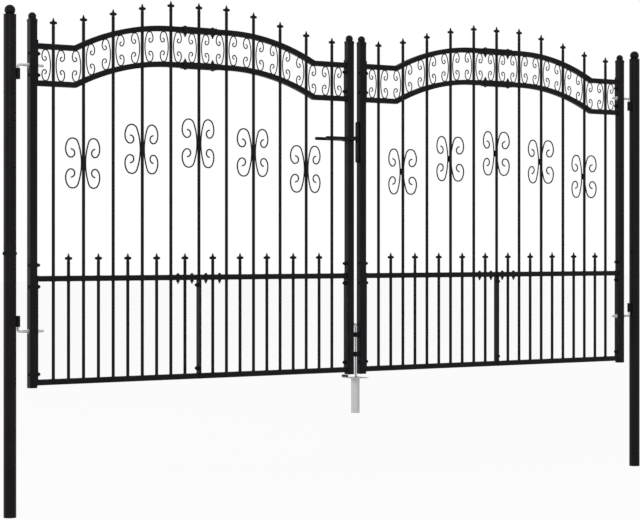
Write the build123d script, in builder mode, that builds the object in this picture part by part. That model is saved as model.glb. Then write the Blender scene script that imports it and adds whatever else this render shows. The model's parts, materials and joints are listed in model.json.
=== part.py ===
"""Double-leaf wrought iron driveway gate on two round posts, millimetres.

The origin is the centre of the left post's foot. X runs along the gate to the right post,
Y runs through the gate away from the front, Z is up.
"""

import os
from math import ceil, cos, radians, sqrt

from build123d import *

# Posts
post_spacing = 3992.0
post_diameter = 60.0
post_wall = 2.5
post_height = 2375.0
post_foot_thickness = 5.0
post_ball_diameter = 52.0
post_ball_rise = 47.0
post_rim_height = 2.0
post_plug_depth = 25.0

# Leaves: stiles, and how they stand between the posts and over the ground
buried_depth = 590.0
leaf_ground_gap = 17.0
hinge_gap = 67.0
lock_gap = 41.0
stile_size = 38.0
stile_wall = 2.0
stile_corner = 3.0
stile_height = 1741.0
stile_ball_diameter = 39.0
stile_ball_rise = 29.0
cap_skirt = 17.0
cap_proud = 0.8
cap_chamfer = 6.0

# Rails: straight bottom and middle rails, two arched rails one above the other
rail_size = 27.0
bottom_rail_height = 25.0
middle_rail_height = 519.0
arch_end_height = 1450.5
arch_spacing = 177.0
arch_flat_half = 165.0
arch_run = 528.0
arch_rise = 126.0

# Flat bars that end the half panels, against the stiles and against each other
end_bar_thickness = 5.0
end_bar_depth = 35.0
end_plate_above_arch = 15.0

# Pickets
picket_pitch = 161.8
picket_diameter = 15.0
picket_sides = 8
pickets_per_half = 5
crown_height = 1893.0
short_picket_rise = 125.0
finial_height = 48.0
finial_width = 36.0
finial_spike = 12.0
finial_thickness = 10.0
finial_drop_shares = (0.0, 0.0, 0.2, 0.49, 0.82, 1.0)
spike_foot_share = 0.34
lobe_share = 0.5
lobe_end_share = 0.2
neck_share = 0.67

# Scrolls: C forms in two sizes, each half a chain of tangent arcs from its middle to its curl
scroll_turns = (20.0, 70.0, 60.0, 40.0, 35.0, 225.0)
band_radius_shares = (2.5, 0.22, 0.2, 0.6, 0.3, 0.13)
butterfly_radius_shares = (2.45, 0.246, 0.249, 0.6, 0.35, 0.164)
scroll_chord_angle = 30.0
scroll_least_chords = 2
wire_depth_share = 0.75
band_wire = 4.0
band_spine_gap = 15.0
band_sink = 1.0
butterfly_height = 246.0
butterfly_wire = 5.2
butterfly_crown_height = 1194.0
butterfly_drop_shares = {0: 0.0, 2: 0.31, 4: 0.96}
collar_width = 25.0
collar_height = 46.0
collar_depth = 5.0

# Sleeves of the centre bar, which join the two half panels
sleeve_size = 33.0
sleeve_half_length = 98.0
sleeve_clearance = 0.25
rail_end_gap = 2.0

# Hinges: eyes on the posts, hooked pins through the stiles
hinge_axis_gap = 11.5
eye_diameter = 22.0
eye_height = 52.0
eye_weld_gap = 0.1
upper_eye_height = 1466.0
lower_eye_height = 292.0
pin_diameter = 12.0
pin_running_gap = 0.05
pin_bend_radius = 10.0
pin_end_past_eye = 2.0
upper_arm_gap = 16.0
lower_arm_gap = 22.0
pin_past_stile = 40.0
pin_hole_gap = 0.2

# Lock: handle, latch bolt, forend and keep
handle_height = 1240.0
spindle_diameter = 10.0
spindle_running_gap = 0.05
spindle_in_lever = 25.0
lever_length = 182.0
lever_grip = 16.0
lever_hub = 22.0
lever_thickness = 10.0
lever_offset = 45.0
lever_face_gap = 0.5
lock_plate_height = 216.0
lock_plate_drop = 16.0
lock_plate_width = 20.0
forend_thickness = 2.0
keep_thickness = 14.0
keep_slot_height = 30.0
keep_slot_width = 14.0
latch_height = 12.0
latch_width = 10.0
latch_reach = 18.0
latch_tail = 5.0
latch_bevel = 7.0
latch_running_gap = 0.05

# Drop bolt and ground socket
rod_diameter = 14.0
rod_running_gap = 0.05
rod_stile_gap = 10.0
rod_straight = 262.0
rod_bend_radius = 16.0
rod_grip = 22.0
rod_tip_chamfer = 3.0
rod_rest_gap = 2.0
guide_wall = 4.5
guide_height = 25.0
guide_heights = (105.0, 208.0)
socket_plate = 100.0
socket_plate_thickness = 4.0
socket_hole = 30.0
socket_tube_diameter = 45.0
socket_tube_wall = 2.5
socket_tube_length = 184.0
stop_length = 45.0
stop_thickness = 4.0
stop_height = 10.0

# Places worked out from the sizes above
post_radius = post_diameter / 2
gate_middle = post_spacing / 2
gate_mirror = Plane.YZ.offset(gate_middle)
leaf_foot = buried_depth + leaf_ground_gap
stile_half = stile_size / 2
hinge_stile_x = post_radius + hinge_gap + stile_half
lock_stile_x = gate_middle - lock_gap / 2 - stile_half
leaf_middle = (hinge_stile_x + lock_stile_x) / 2
leaf_mirror = Plane.YZ.offset(leaf_middle)
panel_reach = lock_stile_x - stile_half - leaf_middle
rail_half = rail_size / 2
bottom_rail_z = leaf_foot + bottom_rail_height
middle_rail_z = leaf_foot + middle_rail_height
lower_arch_z = leaf_foot + arch_end_height
upper_arch_z = lower_arch_z + arch_spacing
arch_radius = (arch_run**2 + arch_rise**2) / (2 * arch_rise)
crown_z = leaf_foot + crown_height
short_tip_z = middle_rail_z + short_picket_rise
butterfly_crown_z = leaf_foot + butterfly_crown_height
hinge_x = post_radius + hinge_axis_gap
upper_eye_z = leaf_foot + upper_eye_height
lower_eye_z = leaf_foot + lower_eye_height
pin_radius = pin_diameter / 2
upper_arm_z = upper_eye_z + eye_height + upper_arm_gap
lower_arm_z = lower_eye_z - lower_arm_gap
handle_z = leaf_foot + handle_height
lock_plate_z = handle_z - lock_plate_drop
keep_face_x = gate_middle + lock_gap / 2 - keep_thickness
rod_x = gate_middle + lock_gap / 2 - rod_stile_gap - rod_diameter / 2
rod_tip_z = buried_depth + rod_rest_gap

pieces = {}


def arch_drop(along):
    """How far the arch lies under its crown at a distance from the leaf's middle."""
    past_flat = min(max(abs(along) - arch_flat_half, 0), arch_run)
    return arch_radius - sqrt(arch_radius**2 - past_flat**2)


def arch_knee(rail_offset):
    """Distance from the leaf's middle to the mitre of an edge that runs beside the arch's line."""
    end_level = arch_radius - arch_rise + rail_offset
    return arch_flat_half + sqrt((arch_radius + rail_offset) ** 2 - end_level**2)


def arched_rail(end_z, start):
    """Outline of half an arched rail, from its joint at the middle to the panel's end."""
    crown = end_z + arch_rise
    outer = panel_reach - end_bar_thickness
    knee_top, knee_bottom = arch_knee(rail_half), arch_knee(-rail_half)
    with BuildSketch() as outline:
        with BuildLine():
            Polyline(
                (arch_flat_half, crown - rail_half),
                (start, crown - rail_half),
                (start, crown + rail_half),
                (arch_flat_half, crown + rail_half),
            )
            RadiusArc(
                (arch_flat_half, crown + rail_half),
                (knee_top, end_z + rail_half),
                arch_radius + rail_half,
            )
            Polyline(
                (knee_top, end_z + rail_half),
                (outer, end_z + rail_half),
                (outer, end_z - rail_half),
                (knee_bottom, end_z - rail_half),
            )
            RadiusArc(
                (knee_bottom, end_z - rail_half),
                (arch_flat_half, crown - rail_half),
                rail_half - arch_radius,
            )
        make_face()
    return outline.sketch


def scroll(spine, middle, half_height, wire, radius_shares, facing):
    """One C scroll of a bar bent in short chords, its curls on the side that facing gives."""
    path_height = half_height - wire / 2
    start, heading = Vector(spine, middle), Vector(0, 1)
    stations = []
    with BuildLine():
        for radius_share, turn in zip(radius_shares, scroll_turns):
            arc = JernArc(start, heading, radius_share * path_height, -facing * turn)
            chords = max(scroll_least_chords, ceil(turn / scroll_chord_angle))
            stations += [(arc @ (chord / chords), arc % (chord / chords)) for chord in range(chords)]
            start, heading = arc @ 1, arc % 1
    stations.append((start, heading))
    across = [Vector(-way.Y, way.X) * (facing * wire / 2) for place, way in stations]
    back = [place + offset for (place, way), offset in zip(stations, across)]
    front = [place - offset for (place, way), offset in zip(stations, across)]
    lower = [Vector(point.X, 2 * middle - point.Y) for point in front[1:] + back[:0:-1]]
    with BuildSketch() as outline:
        Polygon(*back, *reversed(front), *lower, align=None)
    return outline.sketch


def butterfly_scroll(spine, middle, facing):
    """One of the two large scrolls beside a long picket."""
    return scroll(spine, middle, butterfly_height / 2, butterfly_wire, butterfly_radius_shares, facing)


def finial(along, tip):
    """Outline of a spear with two pointed side lobes, its foot as wide as the picket."""
    half_width, half_spike, half_bar = finial_width / 2, finial_spike / 2, picket_diameter / 2
    lobe_middle = tip - finial_height * lobe_share
    lobe_end = finial_height * lobe_end_share / 2
    right_side = [
        (half_spike, tip - finial_height * spike_foot_share),
        (half_width, lobe_middle + lobe_end),
        (half_width, lobe_middle - lobe_end),
        (half_spike, tip - finial_height * neck_share),
        (half_bar, tip - finial_height),
    ]
    with BuildSketch() as outline:
        with Locations((along, 0)):
            Polygon((0, tip), *right_side, *[(-x, z) for x, z in reversed(right_side)], align=None)
    return outline.sketch


def picket(along, foot):
    """Section of a straight bar at its foot."""
    with BuildSketch(Plane.XY.offset(foot)) as section:
        with Locations((along, 0)):
            RegularPolygon(picket_diameter / 2, picket_sides, major_radius=False, rotation=180 / picket_sides)
    return section.sketch


def band_middle(along):
    """Height half way between the two arched rails."""
    return (lower_arch_z + upper_arch_z) / 2 + arch_rise - arch_drop(along)


band_half = (arch_spacing - rail_size) / 2 + band_sink
sleeve_band_half = (arch_spacing - sleeve_size) / 2 + band_sink
first_turn = radians(scroll_turns[0])
scroll_head_share = band_radius_shares[0] * (1 - cos(first_turn)) + band_radius_shares[1] * cos(first_turn)
scroll_head = scroll_head_share * (band_half - band_wire / 2)


def keep_piece(name, piece):
    """Label a finished piece and put it on the list of those to write."""
    piece.label = name
    pieces[name] = piece


# Left post: a tube with a closed foot
with BuildPart() as left_post:
    with BuildSketch():
        Circle(post_radius)
    extrude(amount=post_height)
    with BuildSketch(Plane.XY.offset(post_foot_thickness)):
        Circle(post_radius - post_wall)
    extrude(amount=post_height, mode=Mode.SUBTRACT)
keep_piece("left_post", left_post.part)

with BuildPart() as right_post:
    mirror(left_post.part, about=gate_mirror)
keep_piece("right_post", right_post.part)

# Post caps: a plug in the tube, a rim on it and a ball
with BuildPart() as post_caps:
    ball_radius = post_ball_diameter / 2
    ball_top = post_height + post_ball_rise
    rim_top = post_height + post_rim_height
    neck = sqrt(ball_radius**2 - (ball_top - ball_radius - rim_top) ** 2)
    with BuildSketch(Plane.XZ):
        with BuildLine():
            Polyline(
                (0, ball_top),
                (0, post_height - post_plug_depth),
                (post_radius - post_wall - eye_weld_gap, post_height - post_plug_depth),
                (post_radius - post_wall - eye_weld_gap, post_height),
                (post_radius, post_height),
                (post_radius, rim_top),
                (neck, rim_top),
            )
            ThreePointArc((neck, rim_top), (ball_radius, ball_top - ball_radius), (0, ball_top))
        make_face()
    revolve(axis=Axis.Z)
    mirror(about=gate_mirror)
keep_piece("post_caps", post_caps.part)


def stile(along):
    """Section of the square tube at a leaf's side, at its foot."""
    inner = stile_size - 2 * stile_wall
    with BuildSketch(Plane.XY.offset(leaf_foot)) as section:
        with Locations((along, 0)):
            RectangleRounded(stile_size, stile_size, stile_corner)
            RectangleRounded(inner, inner, stile_corner - stile_wall, mode=Mode.SUBTRACT)
    return section.sketch


with BuildPart() as left_hinge_stile:
    extrude(stile(hinge_stile_x), amount=stile_height)
    with BuildSketch(Plane.YZ.offset(hinge_stile_x)):
        with Locations((0, upper_arm_z), (0, lower_arm_z)):
            Circle(pin_radius + pin_hole_gap)
    extrude(amount=stile_size, both=True, mode=Mode.SUBTRACT)
keep_piece("left_hinge_stile", left_hinge_stile.part)

with BuildPart() as right_hinge_stile:
    mirror(left_hinge_stile.part, about=gate_mirror)
keep_piece("right_hinge_stile", right_hinge_stile.part)

# Lock stiles: the left one is bored for the spindle and the latch bolt
with BuildPart() as left_lock_stile:
    extrude(stile(lock_stile_x), amount=stile_height)
    with BuildSketch(Plane.XZ):
        with Locations((lock_stile_x, handle_z)):
            Circle(spindle_diameter / 2 + spindle_running_gap)
    extrude(amount=stile_size, both=True, mode=Mode.SUBTRACT)
    with BuildSketch(Plane.YZ.offset(lock_stile_x)):
        with Locations((0, handle_z)):
            Rectangle(latch_width + 2 * latch_running_gap, latch_height + 2 * latch_running_gap)
    extrude(amount=stile_size, mode=Mode.SUBTRACT)
keep_piece("left_lock_stile", left_lock_stile.part)

with BuildPart() as right_lock_stile:
    extrude(stile(post_spacing - lock_stile_x), amount=stile_height)
keep_piece("right_lock_stile", right_lock_stile.part)

# Stile caps: a skirt over the tube's end, sloped shoulders and a ball
with BuildPart() as left_stile_caps:
    cap_side = stile_size + 2 * cap_proud
    cap_foot = leaf_foot + stile_height
    ball_radius = stile_ball_diameter / 2
    for cap_x in (hinge_stile_x, lock_stile_x):
        with BuildSketch(Plane.XY.offset(cap_foot)):
            with Locations((cap_x, 0)):
                RectangleRounded(cap_side, cap_side, stile_corner)
        extrude(amount=cap_skirt - cap_chamfer)
        with BuildSketch(Plane.XY.offset(cap_foot + cap_skirt - cap_chamfer)):
            with Locations((cap_x, 0)):
                RectangleRounded(cap_side, cap_side, stile_corner)
        extrude(amount=cap_chamfer, taper=45)
        with Locations((cap_x, 0, cap_foot + cap_skirt + stile_ball_rise - ball_radius)):
            Sphere(ball_radius)
keep_piece("left_stile_caps", left_stile_caps.part)

with BuildPart() as right_stile_caps:
    mirror(left_stile_caps.part, about=gate_mirror)
keep_piece("right_stile_caps", right_stile_caps.part)

# Half panel, drawn with X from the leaf's middle: rails, end bars, pickets, finials and scrolls
with BuildPart() as half_panel:
    rail_outer = panel_reach - end_bar_thickness
    arch_start = picket_diameter / 2 + rail_end_gap
    with BuildSketch(Plane.XZ):
        for rail_z in (bottom_rail_z, middle_rail_z):
            with Locations((0, rail_z)):
                Rectangle(rail_outer, rail_size, align=(Align.MIN, Align.CENTER))
        add(arched_rail(lower_arch_z, arch_start))
        add(arched_rail(upper_arch_z, arch_start))
    extrude(amount=rail_half, both=True)
    with BuildSketch(Plane.XZ):
        bar_foot = bottom_rail_z - rail_half
        bar_height = middle_rail_z + rail_half - bar_foot
        for bar_x in (0, rail_outer):
            with Locations((bar_x, bar_foot)):
                Rectangle(end_bar_thickness, bar_height, align=(Align.MIN, Align.MIN))
        plate_foot = lower_arch_z - rail_half
        plate_height = arch_spacing + rail_size + end_plate_above_arch
        with Locations((rail_outer, plate_foot)):
            Rectangle(end_bar_thickness, plate_height, align=(Align.MIN, Align.MIN))
    extrude(amount=end_bar_depth / 2, both=True)
    for number in range(1, pickets_per_half + 1):
        long_x = number * picket_pitch
        long_tip = crown_z - arch_rise * finial_drop_shares[number]
        short_x = long_x - picket_pitch / 2
        for bar_x, bar_tip in ((long_x, long_tip), (short_x, short_tip_z)):
            extrude(picket(bar_x, bar_foot), amount=bar_tip - finial_height - bar_foot)
        with BuildSketch(Plane.XZ):
            add(finial(long_x, long_tip))
            add(finial(short_x, short_tip_z))
        extrude(amount=finial_thickness / 2, both=True)
    with BuildSketch(Plane.XZ):
        for number in range(1, pickets_per_half + 1):
            for facing in (1, -1):
                spine = number * picket_pitch + facing * band_spine_gap
                middle = band_middle(spine + facing * scroll_head)
                add(scroll(spine, middle, band_half, band_wire, band_radius_shares, facing))
    extrude(amount=band_wire * wire_depth_share / 2, both=True)
    for number, drop_share in butterfly_drop_shares.items():
        if number > 0:
            butterfly_x = number * picket_pitch
            butterfly_z = butterfly_crown_z - arch_rise * drop_share
            with BuildSketch(Plane.XZ):
                for facing in (1, -1):
                    spine = butterfly_x + facing * (collar_width - butterfly_wire) / 2
                    add(butterfly_scroll(spine, butterfly_z, facing))
            extrude(amount=butterfly_wire * wire_depth_share / 2, both=True)
            with Locations((butterfly_x, 0, butterfly_z)):
                Box(collar_width, collar_depth, collar_height)

with BuildPart() as left_inner_panel:
    add(half_panel.part.moved(Location((leaf_middle, 0, 0))))
keep_piece("left_inner_panel", left_inner_panel.part)

with BuildPart() as left_outer_panel:
    mirror(left_inner_panel.part, about=leaf_mirror)
    with BuildSketch(Plane.YZ.offset(hinge_stile_x)):
        with Locations((0, upper_arm_z), (0, lower_arm_z)):
            Circle(pin_radius + pin_hole_gap)
    extrude(amount=stile_size, mode=Mode.SUBTRACT)
keep_piece("left_outer_panel", left_outer_panel.part)

with BuildPart() as right_inner_panel:
    mirror(left_inner_panel.part, about=gate_mirror)
keep_piece("right_inner_panel", right_inner_panel.part)

with BuildPart() as right_outer_panel:
    mirror(left_outer_panel.part, about=gate_mirror)
keep_piece("right_outer_panel", right_outer_panel.part)

# Centre bar: the middle picket with the two sleeves that the half panels' arched rails enter
with BuildPart() as left_centre_bar:
    sleeve_inner = rail_size + 2 * sleeve_clearance
    bar_foot = middle_rail_z + rail_half
    with BuildSketch(Plane.YZ.offset(-sleeve_half_length)):
        with Locations((0, lower_arch_z + arch_rise), (0, upper_arch_z + arch_rise)):
            Rectangle(sleeve_size, sleeve_size)
            Rectangle(sleeve_inner, sleeve_inner, mode=Mode.SUBTRACT)
    extrude(amount=2 * sleeve_half_length)
    extrude(picket(0, bar_foot), amount=crown_z - finial_height - bar_foot)
    with BuildSketch(Plane.XZ):
        add(finial(0, crown_z))
    extrude(amount=finial_thickness / 2, both=True)
    with BuildSketch(Plane.XZ):
        for facing in (1, -1):
            spine = facing * band_spine_gap
            add(scroll(spine, band_middle(0), sleeve_band_half, band_wire, band_radius_shares, facing))
    extrude(amount=band_wire * wire_depth_share / 2, both=True)
    with BuildSketch(Plane.XZ):
        for facing in (1, -1):
            spine = facing * (collar_width - butterfly_wire) / 2
            add(butterfly_scroll(spine, butterfly_crown_z, facing))
    extrude(amount=butterfly_wire * wire_depth_share / 2, both=True)
    with Locations((0, 0, butterfly_crown_z)):
        Box(collar_width, collar_depth, collar_height)
    left_centre_bar.part = left_centre_bar.part.moved(Location((leaf_middle, 0, 0)))
keep_piece("left_centre_bar", left_centre_bar.part)

with BuildPart() as right_centre_bar:
    mirror(left_centre_bar.part, about=gate_mirror)
keep_piece("right_centre_bar", right_centre_bar.part)

# Hinge eyes: short sleeves, each with a web that is welded to the post
with BuildPart() as left_hinge_eyes:
    for eye_z in (upper_eye_z, lower_eye_z):
        with BuildSketch(Plane.XY.offset(eye_z)):
            with Locations((hinge_x, 0)):
                Circle(eye_diameter / 2)
            with Locations((0, 0)):
                Rectangle(hinge_x, eye_diameter / 2, align=(Align.MIN, Align.CENTER))
            Circle(post_radius + eye_weld_gap, mode=Mode.SUBTRACT)
            with Locations((hinge_x, 0)):
                Circle(pin_radius + pin_running_gap, mode=Mode.SUBTRACT)
        extrude(amount=eye_height)
keep_piece("left_hinge_eyes", left_hinge_eyes.part)

with BuildPart() as right_hinge_eyes:
    mirror(left_hinge_eyes.part, about=gate_mirror)
keep_piece("right_hinge_eyes", right_hinge_eyes.part)

# Hinge pins: bent bars, the upper one hooked down into its eye, the lower one up into its own
with BuildPart() as left_hinge_pins:
    pin_end_x = hinge_stile_x + stile_half + pin_past_stile
    upper_end_z = upper_eye_z - pin_end_past_eye
    lower_end_z = lower_eye_z + eye_height + pin_end_past_eye
    for arm_z, end_z in ((upper_arm_z, upper_end_z), (lower_arm_z, lower_end_z)):
        with BuildLine(Plane.XZ):
            FilletPolyline(
                (hinge_x, end_z), (hinge_x, arm_z), (pin_end_x, arm_z), radius=pin_bend_radius
            )
        with BuildSketch(Plane.XY.offset(end_z)):
            with Locations((hinge_x, 0)):
                Circle(pin_radius)
        sweep()
keep_piece("left_hinge_pins", left_hinge_pins.part)

with BuildPart() as right_hinge_pins:
    mirror(left_hinge_pins.part, about=gate_mirror)
keep_piece("right_hinge_pins", right_hinge_pins.part)

# Forend on the left lock stile, with the hole that the latch bolt comes through
with BuildPart() as lock_forend:
    with BuildSketch(Plane.YZ.offset(lock_stile_x + stile_half)):
        with Locations((0, lock_plate_z)):
            SlotOverall(lock_plate_height, lock_plate_width, rotation=90)
        with Locations((0, handle_z)):
            Rectangle(latch_width + 2 * latch_running_gap, latch_height + 2 * latch_running_gap, mode=Mode.SUBTRACT)
    extrude(amount=forend_thickness)
keep_piece("lock_forend", lock_forend.part)

# Keep on the right lock stile, with the slot that the latch bolt shuts into
with BuildPart() as lock_keep:
    with BuildSketch(Plane.YZ.offset(keep_face_x)):
        with Locations((0, lock_plate_z)):
            SlotOverall(lock_plate_height, lock_plate_width, rotation=90)
        with Locations((0, handle_z)):
            Rectangle(keep_slot_width, keep_slot_height, mode=Mode.SUBTRACT)
    extrude(amount=keep_thickness)
keep_piece("lock_keep", lock_keep.part)

# Latch bolt: a bar with a bevelled nose
with BuildPart() as latch_bolt:
    latch_root = lock_stile_x + stile_half - latch_tail
    latch_nose = lock_stile_x + stile_half + forend_thickness + latch_reach
    with BuildSketch(Plane.XY.offset(handle_z)):
        with BuildLine():
            Polyline(
                (latch_root, -latch_width / 2),
                (latch_nose, -latch_width / 2),
                (latch_nose - latch_bevel, latch_width / 2),
                (latch_root, latch_width / 2),
                close=True,
            )
        make_face()
    extrude(amount=latch_height / 2, both=True)
keep_piece("latch_bolt", latch_bolt.part)

# Handle: a spindle through the stile and a lever on each face
with BuildPart() as handle_spindle:
    with BuildSketch(Plane.XZ):
        with Locations((lock_stile_x, handle_z)):
            Circle(spindle_diameter / 2)
    extrude(amount=stile_half + lever_face_gap + spindle_in_lever, both=True)
keep_piece("handle_spindle", handle_spindle.part)

with BuildPart() as front_lever:
    lever_face = stile_half + lever_face_gap
    lever_back = lever_offset + lever_thickness
    with BuildSketch(Plane.XZ.offset(lever_face)):
        with Locations((lock_stile_x, handle_z)):
            Circle(lever_hub / 2)
    extrude(amount=lever_back - lever_face)
    with BuildSketch(Plane.XZ.offset(lever_offset)):
        with Locations((lock_stile_x, handle_z)):
            SlotCenterToCenter(2 * lever_length - lever_grip, lever_grip)
            Rectangle(2 * lever_length, lever_length, align=(Align.MIN, Align.CENTER), mode=Mode.SUBTRACT)
    extrude(amount=lever_thickness)
    with BuildSketch(Plane.XZ.offset(lever_face)):
        with Locations((lock_stile_x, handle_z)):
            Circle(spindle_diameter / 2 + eye_weld_gap)
    extrude(amount=spindle_in_lever, mode=Mode.SUBTRACT)
keep_piece("front_lever", front_lever.part)

with BuildPart() as rear_lever:
    mirror(front_lever.part, about=Plane.XZ)
keep_piece("rear_lever", rear_lever.part)

# Drop bolt: a rod with a chamfered tip and a bent grip, in two guides on the right lock stile
with BuildPart() as drop_bolt:
    rod_top_z = rod_tip_z + rod_straight + rod_bend_radius
    with BuildLine(Plane.YZ.offset(rod_x)):
        FilletPolyline(
            (0, rod_tip_z), (0, rod_top_z), (rod_bend_radius + rod_grip, rod_top_z), radius=rod_bend_radius
        )
    with BuildSketch(Plane.XY.offset(rod_tip_z)):
        with Locations((rod_x, 0)):
            Circle(rod_diameter / 2)
    sweep()
    chamfer(drop_bolt.edges().group_by(Axis.Z)[0], length=rod_tip_chamfer)
keep_piece("drop_bolt", drop_bolt.part)

with BuildPart() as drop_bolt_guides:
    guide_outer = rod_diameter / 2 + guide_wall
    for guide_z in guide_heights:
        with BuildSketch(Plane.XY.offset(leaf_foot + guide_z)):
            with Locations((rod_x, 0)):
                Circle(guide_outer)
                Rectangle(rod_diameter / 2 + rod_stile_gap, 2 * guide_outer, align=(Align.MIN, Align.CENTER))
                Circle(rod_diameter / 2 + rod_running_gap, mode=Mode.SUBTRACT)
        extrude(amount=guide_height / 2, both=True)
keep_piece("drop_bolt_guides", drop_bolt_guides.part)

# Ground socket: a plate with a hole, a tube under it and an upturned stop
with BuildPart() as ground_socket:
    plate_foot = buried_depth - socket_plate_thickness
    with BuildSketch(Plane.XY.offset(plate_foot)):
        with Locations((gate_middle, 0)):
            Rectangle(socket_plate, socket_plate)
        with Locations((rod_x, 0)):
            Circle(socket_hole / 2, mode=Mode.SUBTRACT)
    extrude(amount=socket_plate_thickness)
    with BuildSketch(Plane.XY.offset(plate_foot)):
        with Locations((gate_middle, 0)):
            Circle(socket_tube_diameter / 2)
            Circle(socket_tube_diameter / 2 - socket_tube_wall, mode=Mode.SUBTRACT)
    extrude(amount=-socket_tube_length)
    with BuildSketch(Plane.XY.offset(buried_depth)):
        with Locations((gate_middle - socket_plate / 2, socket_plate / 2)):
            Rectangle(stop_thickness, stop_length, align=(Align.MIN, Align.MAX))
    extrude(amount=stop_height)
keep_piece("ground_socket", ground_socket.part)

os.makedirs("parts", exist_ok=True)
for name, piece in pieces.items():
    export_step(piece, f"parts/{name}.step")
    print(name, len(piece.solids()), round(piece.volume))
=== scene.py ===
import json
import math

import bmesh
import bpy
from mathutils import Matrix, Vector

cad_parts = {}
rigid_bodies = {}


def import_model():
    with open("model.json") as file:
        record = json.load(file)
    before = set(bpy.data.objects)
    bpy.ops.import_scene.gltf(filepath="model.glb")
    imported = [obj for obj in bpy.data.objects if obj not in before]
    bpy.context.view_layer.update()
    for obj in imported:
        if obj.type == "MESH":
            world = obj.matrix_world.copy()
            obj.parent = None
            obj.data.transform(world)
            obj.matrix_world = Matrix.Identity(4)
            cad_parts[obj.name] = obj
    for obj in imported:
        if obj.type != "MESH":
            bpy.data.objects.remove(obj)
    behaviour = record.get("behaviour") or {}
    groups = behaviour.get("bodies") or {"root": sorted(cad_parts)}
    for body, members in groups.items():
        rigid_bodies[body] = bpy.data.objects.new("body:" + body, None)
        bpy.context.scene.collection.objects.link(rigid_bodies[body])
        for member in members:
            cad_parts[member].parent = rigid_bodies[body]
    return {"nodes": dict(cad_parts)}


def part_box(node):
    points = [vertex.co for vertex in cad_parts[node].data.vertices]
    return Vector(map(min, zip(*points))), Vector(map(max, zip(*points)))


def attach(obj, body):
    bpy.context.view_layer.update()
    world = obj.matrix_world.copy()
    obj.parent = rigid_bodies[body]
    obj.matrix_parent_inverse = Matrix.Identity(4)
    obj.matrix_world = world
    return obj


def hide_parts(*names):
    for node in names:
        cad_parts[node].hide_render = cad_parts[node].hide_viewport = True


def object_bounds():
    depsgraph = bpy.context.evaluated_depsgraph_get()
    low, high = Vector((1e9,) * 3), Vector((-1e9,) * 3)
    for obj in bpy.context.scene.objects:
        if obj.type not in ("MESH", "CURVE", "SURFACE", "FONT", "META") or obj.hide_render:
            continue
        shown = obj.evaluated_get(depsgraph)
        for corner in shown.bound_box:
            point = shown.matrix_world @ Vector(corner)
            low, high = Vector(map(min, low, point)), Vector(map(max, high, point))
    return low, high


for leftover in list(bpy.data.objects):
    bpy.data.objects.remove(leftover)
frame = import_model()
cadLow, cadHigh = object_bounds()
scene = bpy.context.scene
print("frame loaded:", len(frame["nodes"]), "nodes")


class Wire:  # a socket that takes part in sums, in shader trees and geometry trees alike
    def __init__(self, tree, socket=None):
        self.tree = tree
        self.socket = socket

    def node(self, kind, settings=None, sockets=None, output=0):
        made = self.tree.nodes.new(kind)
        for name, value in (settings or {}).items():
            setattr(made, name, value)
        for name, value in (sockets or {}).items():
            if isinstance(value, Wire):
                self.tree.links.new(value.socket, made.inputs[name])
            else:
                made.inputs[name].default_value = value
        return Wire(self.tree, made.outputs[output] if len(made.outputs) else None)

    def maths(self, operation, first, second):
        return self.node("ShaderNodeMath", {"operation": operation}, {0: first, 1: second})

    def __add__(self, other):
        return self.maths("ADD", self, other)

    def __radd__(self, other):
        return self.maths("ADD", other, self)

    def __sub__(self, other):
        return self.maths("SUBTRACT", self, other)

    def __rsub__(self, other):
        return self.maths("SUBTRACT", other, self)

    def __mul__(self, other):
        return self.maths("MULTIPLY", self, other)

    def __rmul__(self, other):
        return self.maths("MULTIPLY", other, self)

    def __truediv__(self, other):
        return self.maths("DIVIDE", self, other)

    def __rtruediv__(self, other):
        return self.maths("DIVIDE", other, self)


def emptyTree(owner):
    owner.use_nodes = True
    owner.node_tree.nodes.clear()
    return Wire(owner.node_tree)


def newFinish(name):
    material = bpy.data.materials.new(name)
    tree = emptyTree(material)
    return material, tree, tree.node("ShaderNodeTexCoord", output="Object")


def blendColours(tree, factor, first, second):
    start = (*first, 1) if isinstance(first, tuple) else first
    sockets = {0: factor, 6: start, 7: (*second, 1)}  # 6 and 7 take the Mix node's colours
    return tree.node("ShaderNodeMix", {"data_type": "RGBA"}, sockets, output=2)


def noise(tree, place, scale, detail=2.0):
    sockets = {"Vector": place, "Scale": scale, "Detail": detail}
    return tree.node("ShaderNodeTexNoise", {}, sockets)


def spread(tree, value, span):  # 0 at the span's low end, 1 at its high end
    sockets = {"Value": value, "From Min": span[0], "From Max": span[1]}
    return tree.node("ShaderNodeMapRange", {}, sockets)


def bump(tree, height, facts):
    sockets = {"Strength": facts["bumpStrength"], "Distance": facts["bumpDepth"], "Height": height}
    return tree.node("ShaderNodeBump", {}, sockets)


def closeFinish(tree, sockets):
    shader = tree.node("ShaderNodeBsdfPrincipled", {}, sockets)
    tree.node("ShaderNodeOutputMaterial", {}, {"Surface": shader})


powderCoat = {
    "colour": (0.0030, 0.0015, 0.0031),
    "pale": (0.0078, 0.0057, 0.0079),
    "grain": (0.030, 0.0265, 0.030),
    "thin": (0.070, 0.066, 0.062),  # where the coat is rubbed thin over an edge
    "dust": (0.050, 0.048, 0.046),
    "dustShare": 0.16,
    "dustFacing": (0.55, 1.0),  # how far up a face looks, from no dust to all of it
    "dustEven": {"cloud": 0.35, "grit": 0.5},  # what the patches leave of the dust
    "grainShare": 0.35,
    "grainSpan": (0.58, 0.72),
    "wearShare": 0.75,
    "wearSpan": (0.50, 0.66),
    "cloudSpan": (0.3, 0.7),
    "peelScale": 520.0,  # bumps per metre of the sprayed skin
    "gritScale": 130.0,
    "cloudScale": 7.0,
    "wearScale": 26.0,
    "roughness": 0.42,
    "roughBy": {"cloud": 0.10, "grit": 0.06, "dust": 0.5, "wear": 0.12, "grain": 0.1},
    "handleGloss": 0.12,  # how much smoother the levers and the keep are
    "specular": 0.10,
    "bumpStrength": 0.22,
    "bumpDepth": 0.0006,
    "bumpGrit": 0.3,
}


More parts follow.
